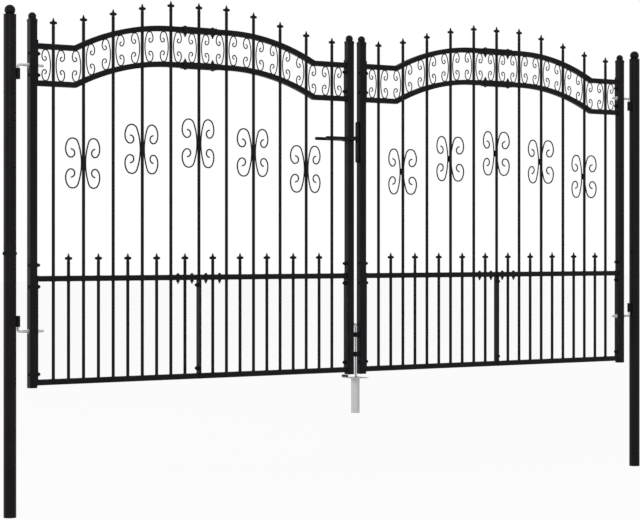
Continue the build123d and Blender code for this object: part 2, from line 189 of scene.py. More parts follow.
def makePowderCoat(name, facts, gloss=0.0):
    material, tree, place = newFinish(name)
    peel = noise(tree, place, facts["peelScale"])
    cloud = noise(tree, place, facts["cloudScale"], detail=4.0)
    grit = noise(tree, place, facts["gritScale"], detail=6.0)
    rubbed = noise(tree, place, facts["wearScale"], detail=8.0)
    edge = tree.node("ShaderNodeAttribute", {"attribute_name": "edge"}, output="Fac")
    facing = tree.node("ShaderNodeNewGeometry", output="Normal")
    upward = tree.node("ShaderNodeSeparateXYZ", {}, {0: facing}, output="Z")
    settled = facts["dustShare"] * spread(tree, upward, facts["dustFacing"])
    even = facts["dustEven"]
    dust = settled * (even["cloud"] + cloud) * (even["grit"] + grit)
    tone = spread(tree, cloud, facts["cloudSpan"])
    grain = facts["grainShare"] * spread(tree, peel, facts["grainSpan"])
    wear = facts["wearShare"] * edge * spread(tree, rubbed, facts["wearSpan"])
    coat = blendColours(tree, tone, facts["colour"], facts["pale"])
    grainy = blendColours(tree, grain, coat, facts["grain"])
    rubbedCoat = blendColours(tree, wear, grainy, facts["thin"])
    colour = blendColours(tree, dust, rubbedCoat, facts["dust"])
    roughBy = facts["roughBy"]
    roughness = facts["roughness"] - gloss + roughBy["cloud"] * (cloud - 0.5)
    roughness = roughness + roughBy["grit"] * grit + roughBy["dust"] * dust
    roughness = roughness - roughBy["wear"] * wear + roughBy["grain"] * grain
    sockets = {
        "Base Color": colour,
        "Roughness": roughness,
        "Specular IOR Level": facts["specular"],
        "Normal": bump(tree, peel + facts["bumpGrit"] * grit, facts),
    }
    closeFinish(tree, sockets)
    return material


hotDipZinc = {
    "dark": (0.400, 0.388, 0.398),
    "light": (0.590, 0.575, 0.588),
    "chalk": (0.600, 0.588, 0.598),
    "spangleScale": 95.0,
    "spangleFrom": 0.42,
    "spangleBy": 0.18,
    "cloudScale": 14.0,
    "fineScale": 900.0,
    "chalkShare": 0.6,
    "chalkSpan": (0.52, 0.75),
    "metallic": 0.78,
    "metallicLoss": 0.3,  # under chalk
    "roughness": 0.46,
    "roughBy": {"spangle": 0.14, "chalk": 0.2},
    "bumpStrength": 0.05,
    "bumpDepth": 0.0005,
}


def makeHotDipZinc(name, facts):
    material, tree, place = newFinish(name)
    flakes = {"Vector": place, "Scale": facts["spangleScale"]}
    flake = tree.node("ShaderNodeTexVoronoi", {}, flakes, output="Color")
    shade = tree.node("ShaderNodeSeparateColor", {}, {0: flake}, output="Red")
    cloud = noise(tree, place, facts["cloudScale"], detail=5.0)
    fine = noise(tree, place, facts["fineScale"])
    chalk = facts["chalkShare"] * spread(tree, cloud, facts["chalkSpan"])
    light = facts["spangleFrom"] + facts["spangleBy"] * shade
    spangle = blendColours(tree, light, facts["dark"], facts["light"])
    roughBy = facts["roughBy"]
    roughness = facts["roughness"] + roughBy["spangle"] * shade + roughBy["chalk"] * chalk
    sockets = {
        "Base Color": blendColours(tree, chalk, spangle, facts["chalk"]),
        "Metallic": facts["metallic"] - facts["metallicLoss"] * chalk,
        "Roughness": roughness,
        "Normal": bump(tree, fine + shade, facts),
    }
    closeFinish(tree, sockets)
    return material


platedSteel = {
    "colour": (0.62, 0.63, 0.64),
    "shadow": (0.42, 0.42, 0.43),
    "drawnOut": (1.0, 1.0, 0.04),  # the marks of drawing run up the bar
    "lineScale": 960.0,
    "lineShare": 0.7,
    "cloudScale": 40.0,
    "cloudShare": 0.3,
    "roughness": 0.26,
    "roughBy": {"lines": 0.2, "cloud": 0.1},
    "bumpStrength": 0.12,
    "bumpDepth": 0.0003,
}


def makePlatedSteel(name, facts):
    material, tree, place = newFinish(name)
    drawn = tree.node("ShaderNodeMapping", {}, {"Vector": place, "Scale": facts["drawnOut"]})
    lines = noise(tree, drawn, facts["lineScale"], detail=3.0)
    cloud = noise(tree, place, facts["cloudScale"], detail=3.0)
    dull = facts["lineShare"] * lines + facts["cloudShare"] * cloud
    roughBy = facts["roughBy"]
    sockets = {
        "Base Color": blendColours(tree, dull, facts["colour"], facts["shadow"]),
        "Metallic": 1.0,
        "Roughness": facts["roughness"] + roughBy["lines"] * lines + roughBy["cloud"] * cloud,
        "Normal": bump(tree, lines, facts),
    }
    closeFinish(tree, sockets)
    return material


# painted shade: the dark rubber of the cap that darkens the socket's upturned stop
stopShadeRubber = {
    "colour": (0.042, 0.041, 0.042),
    "bloom": (0.085, 0.083, 0.084),
    "bloomScale": 60.0,
    "bloomSpan": (0.45, 0.8),
    "poreScale": 1500.0,
    "roughness": 0.68,
    "roughByBloom": 0.2,
    "specular": 0.2,
    "bumpStrength": 0.25,
    "bumpDepth": 0.0004,
}


def makeRubber(name, facts):
    material, tree, place = newFinish(name)
    bloom = noise(tree, place, facts["bloomScale"], detail=5.0)
    pores = noise(tree, place, facts["poreScale"])
    pale = spread(tree, bloom, facts["bloomSpan"])
    sockets = {
        "Base Color": blendColours(tree, pale, facts["colour"], facts["bloom"]),
        "Roughness": facts["roughness"] + facts["roughByBloom"] * bloom,
        "Specular IOR Level": facts["specular"],
        "Normal": bump(tree, pores, facts),
    }
    closeFinish(tree, sockets)
    return material


blackCoat = makePowderCoat("blackPowderCoat", powderCoat)
handleCoat = makePowderCoat("handleCoat", powderCoat, gloss=powderCoat["handleGloss"])
zincCoat = makeHotDipZinc("hotDipZinc", hotDipZinc)
plating = makePlatedSteel("platedSteel", platedSteel)
# painted shade: this dark rubber makes the socket's stop look dark
shadeRubber = makeRubber("stopShadeRubber", stopShadeRubber)

nodeFinishes = {
    "ground_socket": zincCoat,
    "left_hinge_pins": plating,
    "right_hinge_pins": plating,
    "drop_bolt": plating,
    "handle_spindle": plating,
    "front_lever": handleCoat,
    "rear_lever": handleCoat,
    "lock_keep": handleCoat,
}
for nodeName, cadNode in frame["nodes"].items():
    cadNode.data.materials.clear()
    cadNode.data.materials.append(nodeFinishes.get(nodeName, blackCoat))
print("finishes on", len(frame["nodes"]), "nodes")


def newForm(name, shape):
    mesh = bpy.data.meshes.new(name)
    shape.to_mesh(mesh)
    shape.free()
    return bpy.data.objects.new(name, mesh)


def lathe(name, profile, sides):  # profile of (radius, height), from the axis back to the axis
    turn = [2 * math.pi * (side + 0.5) / sides for side in range(sides)]
    shape = bmesh.new()
    rings = []
    for radius, height in profile:
        if radius == 0:
            rings.append([shape.verts.new((0, 0, height))] * sides)
        else:
            ring = [(radius * math.cos(angle), radius * math.sin(angle), height) for angle in turn]
            rings.append([shape.verts.new(place) for place in ring])
    for lower, upper in zip(rings, rings[1:]):
        for side in range(sides):
            corners = [lower[side], lower[side - 1], upper[side - 1], upper[side]]
            shape.faces.new(list(dict.fromkeys(corners)))
    bmesh.ops.recalc_face_normals(shape, faces=shape.faces)
    return newForm(name, shape)


def bevelledBox(name, low, high, corner, steps):
    shape = bmesh.new()
    bmesh.ops.create_cube(shape, size=1.0)
    bmesh.ops.scale(shape, vec=high - low, verts=shape.verts)
    bmesh.ops.translate(shape, vec=(low + high) / 2, verts=shape.verts)
    edges = shape.edges[:]
    bmesh.ops.bevel(shape, geom=edges, offset=corner, segments=steps, profile=0.5, affect="EDGES")
    return newForm(name, shape)


left, right = Vector((-1, 0, 0)), Vector((1, 0, 0))
front, back = Vector((0, -1, 0)), Vector((0, 1, 0))
up, down = Vector((0, 0, 1)), Vector((0, 0, -1))


def newTree(name, inputs):  # kinds of the inputs by their names
    group = bpy.data.node_groups.new(name, "GeometryNodeTree")
    group.interface.new_socket("Geometry", in_out="OUTPUT", socket_type="NodeSocketGeometry")
    sockets = {}
    for label, kind in {"Geometry": "Geometry", **inputs, "Finish": "Material"}.items():
        socket = group.interface.new_socket(label, in_out="INPUT", socket_type="NodeSocket" + kind)
        sockets[label] = socket.identifier
    source = group.nodes.new("NodeGroupInput")
    given = {socket.name: Wire(group, socket) for socket in source.outputs if socket.name}
    return Wire(group), given, sockets


def finishTree(tree, geometry, given, sockets):
    whole = tree.node("GeometryNodeRealizeInstances", {}, {0: geometry})
    dressed = tree.node("GeometryNodeSetMaterial", {}, {0: whole, "Material": given["Finish"]})
    tree.node("NodeGroupOutput", {}, {0: dressed})
    return tree.tree, sockets


def readValues(tree, name, kind):
    return tree.node("GeometryNodeInputNamedAttribute", {"data_type": kind}, {"Name": name})


def aimed(tree, axis):  # the turn that takes a form's axis to each point's aim
    aim = readValues(tree, "aim", "FLOAT_VECTOR")
    return tree.node("FunctionNodeAlignRotationToVector", {"axis": axis}, {"Vector": aim})


def placeForms(tree, given, form, rotation, scale=(1, 1, 1)):
    sockets = {"Points": given["Geometry"], "Instance": form, "Rotation": rotation, "Scale": scale}
    return tree.node("GeometryNodeInstanceOnPoints", {}, sockets)


def makeScatterTree():  # a fastener on every point, its foot there and its axis along aim
    inputs = {"Fastener": "Object", "Size": "Float", "Spin": "Float", "Seed": "Int"}
    tree, given, sockets = newTree("scatterFasteners", inputs)
    limits = {2: 0.0, 3: given["Spin"], "Seed": given["Seed"]}  # 2 and 3 are the least and most
    spin = tree.node("FunctionNodeRandomValue", {}, limits, output=1)
    twist = tree.node("ShaderNodeCombineXYZ", {}, {"Z": spin})
    local = {"rotation_space": "LOCAL"}
    twisted = tree.node("FunctionNodeRotateRotation", local, {0: aimed(tree, "Z"), 1: twist})
    form = tree.node("GeometryNodeObjectInfo", {}, {0: given["Fastener"]}, output="Geometry")
    placed = placeForms(tree, given, form, twisted, given["Size"])
    return finishTree(tree, placed, given, sockets)


beadForm = {"sides": 6, "ripple": 0.16}  # the ripple as a share of the bead's radius


def makeBeadTree():  # a rippled weld bead along every edge
    inputs = {"Bead Radius": "Float", "Ripple Pitch": "Float", "Step": "Float"}
    tree, given, sockets = newTree("weldBeads", inputs)
    path = tree.node("GeometryNodeMeshToCurve", {}, {0: given["Geometry"]})
    steps = {"Curve": path, "Length": given["Step"]}
    run = tree.node("GeometryNodeResampleCurve", {"mode": "LENGTH"}, steps)
    along = tree.node("GeometryNodeSplineParameter", output="Length")
    phase = along * (2 * math.pi) / given["Ripple Pitch"]
    ripple = tree.node("ShaderNodeMath", {"operation": "SINE"}, {0: phase})
    radius = 1.0 + beadForm["ripple"] * ripple
    swollen = tree.node("GeometryNodeSetCurveRadius", {}, {0: run, "Radius": radius})
    circle = {"Resolution": beadForm["sides"], "Radius": given["Bead Radius"]}
    section = tree.node("GeometryNodeCurvePrimitiveCircle", {}, circle)
    thickness = tree.node("GeometryNodeInputRadius")
    sweep = {"Curve": swollen, "Profile Curve": section, "Scale": thickness, "Fill Caps": True}
    bead = tree.node("GeometryNodeCurveToMesh", {}, sweep)
    return finishTree(tree, bead, given, sockets)


threadForm = {"turnSteps": 20, "crestSides": 4}


def makeThreadTree():  # a helix of thread on every point, round its aim
    inputs = {"Thread Radius": "Float", "Pitch": "Float", "Length": "Float", "Crest": "Float"}
    tree, given, sockets = newTree("boltThreads", inputs)
    coil = {
        "Resolution": threadForm["turnSteps"],
        "Rotations": given["Length"] / given["Pitch"],
        "Start Radius": given["Thread Radius"],
        "End Radius": given["Thread Radius"],
        "Height": given["Length"],
    }
    helix = tree.node("GeometryNodeCurveSpiral", {}, coil)
    circle = {"Resolution": threadForm["crestSides"], "Radius": given["Crest"]}
    section = tree.node("GeometryNodeCurvePrimitiveCircle", {}, circle)
    sweep = {"Curve": helix, "Profile Curve": section, "Fill Caps": True}
    ridge = tree.node("GeometryNodeCurveToMesh", {}, sweep)
    return finishTree(tree, placeForms(tree, given, ridge, aimed(tree, "Z")), given, sockets)


def barSection(tree, given):  # a flat or square bar's section with rounded corners
    size = {"Width": given["Depth"], "Height": given["Width"]}
    oblong = tree.node("GeometryNodeCurvePrimitiveQuadrilateral", {"mode": "RECTANGLE"}, size)
    corners = {"Curve": oblong, "Count": given["Corner Steps"], "Radius": given["Corner"]}
    return tree.node("GeometryNodeFilletCurve", {"mode": "POLY"}, corners)


def sweepSection(tree, path, section):  # along a path in the gate's plane, mitred at its corners
    run = tree.node("GeometryNodeMeshToCurve", {}, {0: path})
    normal = {0: run, "Normal": tuple(back)}
    upright = tree.node("GeometryNodeSetCurveNormal", {"mode": "FREE"}, normal)
    mitre = readValues(tree, "mitre", "FLOAT")
    sweep = {"Curve": upright, "Profile Curve": section, "Scale": mitre, "Fill Caps": True}
    return tree.node("GeometryNodeCurveToMesh", {}, sweep)


edgeSlant = {"least": 0.02, "most": 0.90}  # squares of how far a face looks through the gate


def markEdges(tree, bars):  # the rounded corners look neither through the gate nor along it
    facing = tree.node("GeometryNodeInputNormal")
    across = tree.node("ShaderNodeSeparateXYZ", {}, {0: facing}, output="Y")
    slant = across * across
    past = slant.maths("GREATER_THAN", slant, edgeSlant["least"])
    edge = past * slant.maths("LESS_THAN", slant, edgeSlant["most"])
    marks = {"Geometry": bars, "Name": "edge", "Value": edge}
    return tree.node("GeometryNodeStoreNamedAttribute", {"domain": "FACE"}, marks)


barInputs = {"Width": "Float", "Depth": "Float", "Corner": "Float", "Corner Steps": "Int"}


def makeBarTree():  # a bar along every line
    tree, given, sockets = newTree("barRuns", barInputs)
    bars = sweepSection(tree, given["Geometry"], barSection(tree, given))
    return finishTree(tree, markEdges(tree, bars), given, sockets)


def makeRodTree():  # a round rod along every line
    tree, given, sockets = newTree("roundRods", {"Radius": "Float", "Sides": "Int"})
    circle = {"Resolution": given["Sides"], "Radius": given["Radius"]}
    section = tree.node("GeometryNodeCurvePrimitiveCircle", {}, circle)
    return finishTree(tree, sweepSection(tree, given["Geometry"], section), given, sockets)


def makeScrollTree():  # a scroll bent from a bar on every point, its curls towards aim
    tree, given, sockets = newTree("scrollwork", {"Path": "Object", **barInputs})
    path = tree.node("GeometryNodeObjectInfo", {}, {0: given["Path"]}, output="Geometry")
    form = markEdges(tree, sweepSection(tree, path, barSection(tree, given)))
    size = readValues(tree, "size", "FLOAT")
    placed = placeForms(tree, given, form, aimed(tree, "X"), size)
    return finishTree(tree, placed, given, sockets)


barTree, rodTree, scrollTree = makeBarTree(), makeRodTree(), makeScrollTree()
scatterTree, beadTree, threadTree = makeScatterTree(), makeBeadTree(), makeThreadTree()


def pointCloud(name, spots, sizes=None):  # spots of (place, direction)
    mesh = bpy.data.meshes.new(name)
    mesh.from_pydata([tuple(place) for place, aim in spots], [], [])
    aims = mesh.attributes.new("aim", "FLOAT_VECTOR", "POINT")
    aims.data.foreach_set("vector", [part for place, aim in spots for part in aim])
    scales = mesh.attributes.new("size", "FLOAT", "POINT")
    scales.data.foreach_set("value", sizes or [1.0] * len(spots))
    return mesh


def mitreOf(before, corner, after):  # how much wider a bar's section is on the mitre
    return 1 / math.cos((corner - before).angle(after - corner) / 2)


def lineSet(name, lines):  # lines of points
    points, edges, mitres = [], [], []
    for line in lines:
        start = len(points)
        edges += [(start + step, start + step + 1) for step in range(len(line) - 1)]
        points += [tuple(point) for point in line]
        corners = [mitreOf(*corner) for corner in zip(line, line[1:], line[2:])]
        mitres += [1.0, *corners, 1.0]
    mesh = bpy.data.meshes.new(name)
    mesh.from_pydata(points, edges, [])
    mesh.attributes.new("mitre", "FLOAT", "POINT").data.foreach_set("value", mitres)
    return mesh


def grow(name, mesh, grower, values, body):
    group, sockets = grower
    source = bpy.data.objects.new(name + "Source", mesh)
    scene.collection.objects.link(source)
    modifier = source.modifiers.new("grow", "NODES")
    modifier.node_group = group
    for label, value in values.items():
        modifier[sockets[label]] = value
    bpy.context.view_layer.update()
    depsgraph = bpy.context.evaluated_depsgraph_get()
    grown = bpy.data.meshes.new_from_object(source.evaluated_get(depsgraph))
    grown.name = name
    source.modifiers.remove(modifier)
    bpy.data.objects.remove(source)
    piece = bpy.data.objects.new(name, grown)
    scene.collection.objects.link(piece)
    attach(piece, body)
    return piece


creaseAngles = {"form": 40.0, "run": 60.0}  # in degrees, from which an edge stays sharp


def softEdges(piece, kind="form"):
    piece.data.shade_smooth()
    piece.data.set_sharp_from_angle(angle=math.radians(creaseAngles[kind]))


def middleOf(nodeName):
    low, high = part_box(nodeName)
    return (low + high) / 2


stileLow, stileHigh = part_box("left_hinge_stile")
stileHalf = (stileHigh.x - stileLow.x) / 2

# The leaves as the frame gives them: the names of a leaf's body and nodes begin with its side
leafFacts = {
    side: {
        "body": side + "_leaf",
        "inward": inward,  # from the post towards the meeting stiles
        "middle": middleOf(side + "_centre_bar").x,
        "hinge": middleOf(side + "_hinge_stile").x,
        "lock": middleOf(side + "_lock_stile").x,
    }
    for side, inward in (("left", right), ("right", left))
}
for facts in leafFacts.values():  # from the leaf's middle to its stiles
    facts["reach"] = abs(facts["lock"] - facts["middle"]) - stileHalf

# The leaf's lines, in metres: rails by their middles, the arch, the pickets, the scrolls' heads
leafLines = {
    "bottom": 0.632,
    "middle": 1.126,
    "lowerArch": 2.0575,
    "upperArch": 2.2345,
    "railHalf": 0.0135,
    "sleeveHalf": 0.0165,
    "sleeveReach": 0.098,
    "endBar": 0.005,
    "endBarDepth": 0.035,
    "archRise": 0.126,
    "archFlat": 0.165,
    "archRun": 0.528,
    "pitch": 0.1618,
    "picketsPerHalf": 5,
    "scrollHead": 0.0415,
}
railHalf, sleeveHalf, endBar = [leafLines[key] for key in ("railHalf", "sleeveHalf", "endBar")]
archRun, archRise = leafLines["archRun"], leafLines["archRise"]
archRadius = (archRun**2 + archRise**2) / (2 * archRise)
lastPicket = leafLines["picketsPerHalf"]
longSteps = range(-lastPicket, lastPicket + 1)  # the long pickets, counted from the leaf's middle
halfSteps = range(-2 * lastPicket, 2 * lastPicket + 1)  # with the short ones between them


def pastFlat(along):  # how far out on the arch's curve, which begins beside its flat crown
    return min(max(abs(along) - leafLines["archFlat"], 0), archRun)


def archFace(rail, along, offset):  # place and outward way of an arched rail's upper or lower face
    past = pastFlat(along)
    end = leafLines[rail]
    side = 1 if offset > 0 else -1
    if past == archRun:
        return Vector((along, 0, end + offset)), up * side
    height = end + archRise - archRadius + math.sqrt((archRadius + offset) ** 2 - past**2)
    lean = math.copysign(past / archRadius, along)
    return Vector((along, 0, height)), Vector((lean, 0, math.sqrt(1 - lean**2))) * side


panelBars = {
    "railCorner": 0.0025,
    "flatCorner": 0.0008,
    "sleeveCorner": 0.0030,
    "cornerSteps": 2,
    "picket": {"Radius": 0.0079, "Sides": 16},
    "railGap": 0.0095,  # from the leaf's middle to the arched rails' ends, inside their sleeves
    "archSteps": 24,
    "plateAbove": 0.015,  # upper flat bars past the arched rails
}
picketTops = {
    "crown": 2.500,
    "drops": (0.0, 0.0, 0.2, 0.497, 0.80, 1.0),  # shares of the arch's rise, outwards
    "short": 1.247,
}
finial = {
    "height": 0.048,
    "halfThickness": 0.005,
    "chamfer": 0.0014,
    "outline": (  # half of it, from the tip down to the foot
        (0.0000, 0.0480), (0.0060, 0.0317), (0.0180, 0.0288),
        (0.0180, 0.0192), (0.0060, 0.0158), (0.0075, 0.0000),
    ),
}


def onLeaf(facts, along, height):
    return Vector((facts["middle"] + along, 0, height))


def archLine(rail):  # middle line of half an arched rail as far as its knee
    crown = leafLines[rail] + archRise
    yield panelBars["railGap"], crown
    widest = math.asin(archRun / archRadius)
    for step in range(panelBars["archSteps"] + 1):
        angle = widest * step / panelBars["archSteps"]
        along = leafLines["archFlat"] + archRadius * math.sin(angle)
        yield along, crown - archRadius * (1 - math.cos(angle))


def railLines(facts):
    start, end = endBar / 2, facts["reach"] - endBar / 2
    lines = []
    for side in (1, -1):
        for rail in ("bottom", "middle"):
            lines.append([onLeaf(facts, side * along, leafLines[rail]) for along in (start, end)])
        for rail in ("lowerArch", "upperArch"):
            line = [*archLine(rail), (end, leafLines[rail])]
            lines.append([onLeaf(facts, side * along, height) for along, height in line])
    return lines


def flatBarLines(facts):
    lower = (leafLines["bottom"] - railHalf, leafLines["middle"] + railHalf)
    top = leafLines["upperArch"] + railHalf + panelBars["plateAbove"]
    upper = (leafLines["lowerArch"] - railHalf, top)
    outer = facts["reach"] - endBar / 2
    lines = []
    for along, heights in ((endBar / 2, lower), (outer, lower), (outer, upper)):
        for side in (1, -1):
            lines.append([onLeaf(facts, side * along, height) for height in heights])
    return lines


def sleeveLines(facts):
    levels = [leafLines[rail] + archRise for rail in ("lowerArch", "upperArch")]
    ends = (-leafLines["sleeveReach"], leafLines["sleeveReach"])
    return [[onLeaf(facts, along, level) for along in ends] for level in levels]


def picketLines(facts):  # from inside a rail to the finial's foot
    lines = []
    for step in halfSteps:
        along = step * leafLines["pitch"] / 2
        foot = leafLines["bottom"] if step else leafLines["middle"]
        top = picketTops["short"]
        if step % 2 == 0:
            top = picketTops["crown"] - archRise * picketTops["drops"][abs(step) // 2]
        lines.append([onLeaf(facts, along, foot), onLeaf(facts, along, top - finial["height"])])
    return lines


def insetOutline(outline, amount):  # a closed outline drawn in by a chamfer, its points clockwise
    inset = []
    last, following = outline[-1:] + outline[:-1], outline[1:] + outline[:1]
    for before, corner, after in zip(last, outline, following):
        edges = [(corner - before).normalized(), (after - corner).normalized()]
        inward = [Vector((edge.z, 0, -edge.x)) for edge in edges]
        inset.append(corner + (inward[0] + inward[1]) * (amount / (1 + inward[0].dot(inward[1]))))
    return inset


def makeFinial():  # a flat spear with two side lobes and chamfered edges
    rightHalf = [Vector((x, 0, z)) for x, z in finial["outline"]]
    outline = rightHalf + [Vector((-point.x, 0, point.z)) for point in rightHalf[:0:-1]]
    face = insetOutline(outline, finial["chamfer"])
    depth, rim = finial["halfThickness"], finial["halfThickness"] - finial["chamfer"]
    shape = bmesh.new()
    loops = []
    for points, offset in ((face, -depth), (outline, -rim), (outline, rim), (face, depth)):
        loops.append([shape.verts.new((point.x, offset, point.z)) for point in points])
    shape.faces.new(loops[0])
    shape.faces.new(loops[-1])
    for near, far in zip(loops, loops[1:]):
        for corner in range(len(outline)):
            shape.faces.new((near[corner - 1], near[corner], far[corner], far[corner - 1]))
    bmesh.ops.recalc_face_normals(shape, faces=shape.faces)
    return newForm("finialForm", shape)


scrollTurns = (20.0, 70.0, 60.0, 40.0, 35.0, 225.0)  # arcs from the middle to the curl, in degrees
scrollStep = {"angle": 12.0, "length": 0.008}
scrollBar = {"depthShare": 0.9, "cornerShare": 0.25, "cornerSteps": 1}
bandScroll = {
    "half": 0.074,  # half the height of the bar's middle line
    "wire": 0.0053,
    "radii": (2.5, 0.22, 0.2, 0.6, 0.3, 0.13),  # of the arcs, as shares of half the height
    "spine": 0.015,
    "sleeveSize": 0.96,  # between the sleeves, which leave less height
}
butterfly = {
    "half": 0.1204,
    "wire": 0.0067,
    "radii": (2.45, 0.246, 0.249, 0.6, 0.35, 0.164),
    "spine": 0.0112,
    "setBack": {"left": 0.0, "right": 0.010},  # behind the pickets' middle
    "sweep": {"left": 0.10, "right": -0.10},  # of the wings, backwards per metre of their width
    "crown": 1.797,
    "drops": {-4: 0.91, -2: 0.30, 0: 0.0, 2: 0.30, 4: 0.91},  # by picket, shares of the arch's rise
}
collar = {"size": Vector((0.025, 0.005, 0.034)), "chamfer": 0.0010, "chamferSteps": 1}


def scrollPath(name, facts):  # a C of tangent arcs in the gate's plane, its curls towards +X
    upper = [Vector((0, 0, 0))]
    heading = math.pi / 2
    for share, turn in zip(facts["radii"], scrollTurns):
        radius, swing = share * facts["half"], math.radians(turn)
        centre = upper[-1] + radius * Vector((math.sin(heading), 0, -math.cos(heading)))
        least = max(turn / scrollStep["angle"], radius * swing / scrollStep["length"])
        steps = math.ceil(least)
        for step in range(1, steps + 1):
            angle = heading - swing * step / steps
            upper.append(centre - radius * Vector((math.sin(angle), 0, -math.cos(angle))))
        heading -= swing
    lower = [Vector((point.x, 0, -point.z)) for point in upper[:0:-1]]
    return bpy.data.objects.new(name, lineSet(name, [lower + upper]))


def bandSpots(facts):  # two scrolls back to back at every long picket
    spots, sizes = [], []
    level = (leafLines["lowerArch"] + leafLines["upperArch"]) / 2 + archRise
    for number in longSteps:
        for way in (right, left):
            along = number * leafLines["pitch"]
            past = pastFlat(along + way.x * leafLines["scrollHead"])
            height = level - archRadius + math.sqrt(archRadius**2 - past**2)
            spots.append((onLeaf(facts, along + way.x * bandScroll["spine"], height), way))
            sizes.append(1.0 if number else bandScroll["sleeveSize"])
    return spots, sizes


def butterflySpots(side, facts):
    spots, collars = [], []
    sweep = back * butterfly["sweep"][side]
    for number, drop in butterfly["drops"].items():
        along = number * leafLines["pitch"]
        height = butterfly["crown"] - archRise * drop
        middle = onLeaf(facts, along, height) + back * butterfly["setBack"][side]
        spots += [(middle + way * butterfly["spine"], way + sweep) for way in (right, left)]
        collars.append((middle, up))
    return spots, collars


def makeCollar():
    half = collar["size"] / 2
    return bevelledBox("collarForm", -half, half, collar["chamfer"], collar["chamferSteps"])


def barValues(width, depth, corner, steps):
    sizes = {"Width": width, "Depth": depth, "Corner": corner, "Corner Steps": steps}
    return {**sizes, "Finish": blackCoat}


def runBars(name, lines, width, depth, corner, body):
    values = barValues(width, depth, corner, panelBars["cornerSteps"])
    return grow(name, lineSet(name, lines), barTree, values, body)


def bendScrolls(name, path, facts, spots, sizes, body):
    wire = facts["wire"]
    depth, corner = wire * scrollBar["depthShare"], wire * scrollBar["cornerShare"]
    values = {"Path": path, **barValues(wire, depth, corner, scrollBar["cornerSteps"])}
    softEdges(grow(name, pointCloud(name, spots, sizes), scrollTree, values, body), "run")


def scatter(name, spots, form, body, seed, finish=blackCoat, spin=math.pi / 3):
    values = {"Fastener": form, "Size": 1.0, "Spin": spin, "Seed": seed, "Finish": finish}
    softEdges(grow(name, pointCloud(name, spots), scatterTree, values, body))


bandPath = scrollPath("bandScrollPath", bandScroll)
butterflyPath = scrollPath("butterflyPath", butterfly)
finialForm, collarForm = makeFinial(), makeCollar()
for side, facts in leafFacts.items():
    body = facts["body"]
    size, corner = 2 * railHalf, panelBars["railCorner"]
    rails = runBars(side + "_rails", railLines(facts), size, size, corner, body)
    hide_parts(side + "_outer_panel", side + "_inner_panel")
    depth, corner = leafLines["endBarDepth"], panelBars["flatCorner"]
    runBars(side + "_flat_bars", flatBarLines(facts), endBar, depth, corner, body)
    size, corner = 2 * sleeveHalf, panelBars["sleeveCorner"]
    sleeves = runBars(side + "_sleeves", sleeveLines(facts), size, size, corner, body)
    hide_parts(side + "_centre_bar")
    name, lines = side + "_pickets", picketLines(facts)
    values = {**panelBars["picket"], "Finish": blackCoat}
    softEdges(grow(name, lineSet(name, lines), rodTree, values, body))
    finials = [(line[1], up) for line in lines]
    scatter(side + "_finials", finials, finialForm, body, 1, spin=0.0)
    bendScrolls(side + "_band_scrolls", bandPath, bandScroll, *bandSpots(facts), body)
    scrolls, collars = butterflySpots(side, facts)
    bendScrolls(side + "_butterflies", butterflyPath, butterfly, scrolls, None, body)
    scatter(side + "_collars", collars, collarForm, body, 1, spin=0.0)
print("rails, pickets and scrollwork made")

domedHead = {"radius": 0.0080, "height": 0.0085, "flange": 0.0098, "flangeHeight": 0.0014}
lowHead = {"radius": 0.0088, "height": 0.0060, "flange": 0.0100, "flangeHeight": 0.0012}
capNut = {"radius": 0.0088, "height": 0.0190, "flange": 0.0100, "flangeHeight": 0.0095}
tallCap = {"radius": 0.0080, "height": 0.0230, "flange": 0.0092, "flangeHeight": 0.0130}
plateScrew = {"radius": 0.0040, "height": 0.0014, "flange": 0.0044, "flangeHeight": 0.0004}
weldBlob = {"radius": 0.0048, "height": 0.0026, "flange": 0.0056, "flangeHeight": 0.0005}
hexNut = {
    "corner": 0.0086, "height": 0.0080, "washer": 0.0105, "washerHeight": 0.0015,
    "thread": 0.0042, "past": 0.0085,  # the bolt's end, past the nut
}
jamNut = {
    "corner": 0.0098, "height": 0.0070, "washer": 0.0112, "washerHeight": 0.0016, "past": 0.0,
}
nutCut = {"height": 0.12, "radius": 0.88}  # chamfer of a hexagon, as shares of its sizes
boltCut = {"height": 0.001, "radius": 0.8}
formSides = {"dome": 12, "blob": 8, "washer": 18, "end": 12, "fillet": 10, "cylinder": 24}
domeAngles = (0, 25, 50, 75)
picketFillet = ((0, 0), (0.0104, 0), (0.0091, 0.0012), (0.0080, 0.0030), (0, 0.0030))
keyCylinder = (
    (0, 0), (0.0090, 0), (0.0090, 0.0012), (0.0080, 0.0020), (0.0062, 0.0020),
    (0.0062, 0.0034), (0.0022, 0.0034), (0.0016, 0.0012), (0, 0.0012),
)


def makeDome(name, facts, sides=formSides["dome"]):
    foot = facts["flangeHeight"]
    rise = facts["height"] - foot
    profile = [(0, 0), (facts["flange"], 0), (facts["flange"], foot)]
    for angle in domeAngles:
        turn = math.radians(angle)
        profile.append((facts["radius"] * math.cos(turn), foot + rise * math.sin(turn)))
    return lathe(name, profile + [(0, facts["height"])], sides)


def joinForms(name, forms):
    shape = bmesh.new()
    for form in forms:
        shape.from_mesh(form.data)
        bpy.data.objects.remove(form)
    return newForm(name, shape)


def closedNut(name, facts):  # washer, hexagon with chamfered corners, and the bolt's end
    foot = facts["washerHeight"]
    top = foot + facts["height"]
    washer, corner = facts["washer"], facts["corner"]
    ring = [(0, 0), (washer, 0), (washer, foot), (0, foot)]
    forms = [lathe(name + "Washer", ring, formSides["washer"])]
    knee = top - nutCut["height"] * facts["height"]
    hexagon = [(0, 0), (corner, 0), (corner, knee), (nutCut["radius"] * corner, top), (0, top)]
    forms.append(lathe(name + "Hexagon", hexagon, 6))
    if facts["past"]:
        end = top + facts["past"]
        thread, knee = facts["thread"], end - boltCut["height"]
        bolt = [(0, 0), (thread, 0), (thread, knee), (boltCut["radius"] * thread, end), (0, end)]
        forms.append(lathe(name + "End", bolt, formSides["end"]))
    return joinForms(name, forms)


